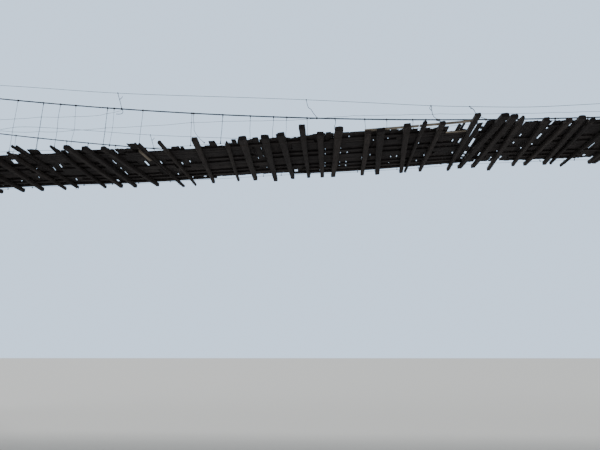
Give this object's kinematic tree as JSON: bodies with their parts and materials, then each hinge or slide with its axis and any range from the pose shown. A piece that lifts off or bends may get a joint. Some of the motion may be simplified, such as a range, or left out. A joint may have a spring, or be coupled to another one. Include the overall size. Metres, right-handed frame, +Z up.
{
  "type": "rope suspension footbridge",
  "caption": "Timber-decked suspension footbridge hung from two steel wire ropes, with ragged crossbeams, wire hangers, stone pillars and abutments, and concrete anchors.",
  "frame": {"origin": "on the ground under mid-span, on the centreline, level with the undersides of the abutments and anchor blocks", "axes": "+X along the bridge to the right bank, +Y across it to the far side, +Z up"},
  "size_m": [39.63, 4.2, 2.9448],
  "materials": {
    "weathered_timber": "rough, weathered, split and dirty",
    "wire_rope": "dark greasy wire rope",
    "thin_wire": "dull rusted wire",
    "rusty_iron": "rusted casting",
    "rubble_stone": "rough stones in mortar",
    "rough_concrete": "board-marked concrete"
  },
  "bodies": {
    "root": {"abutment_left": "rubble_stone", "abutment_right": "rubble_stone", "main_cable_near": "wire_rope", "guide_wire_near": "thin_wire", "side_net_near_left": "thin_wire", "cable_pillar_near_left": "rubble_stone", "cable_saddle_near_left": "rusty_iron", "anchor_block_near_left": "rough_concrete", "side_net_near_right": "thin_wire", "cable_pillar_near_right": "rubble_stone", "cable_saddle_near_right": "rusty_iron", "anchor_block_near_right": "rough_concrete", "main_cable_far": "wire_rope", "guide_wire_far": "thin_wire", "side_net_far_left": "thin_wire", "cable_pillar_far_left": "rubble_stone", "cable_saddle_far_left": "rusty_iron", "anchor_block_far_left": "rough_concrete", "side_net_far_right": "thin_wire", "cable_pillar_far_right": "rubble_stone", "cable_saddle_far_right": "rusty_iron", "anchor_block_far_right": "rough_concrete", "deck_bay_01": "weathered_timber", "deck_bay_02": "weathered_timber", "deck_bay_03": "weathered_timber", "deck_bay_04": "weathered_timber", "deck_bay_05": "weathered_timber", "deck_bay_06": "weathered_timber", "deck_bay_07": "weathered_timber", "deck_bay_08": "weathered_timber", "deck_bay_09": "weathered_timber", "deck_bay_10": "weathered_timber", "deck_bay_11": "weathered_timber", "deck_bay_12": "weathered_timber", "deck_bay_13": "weathered_timber", "deck_bay_14": "weathered_timber", "deck_bay_15": "weathered_timber", "deck_bay_16": "weathered_timber"}
  },
  "joints": []
}
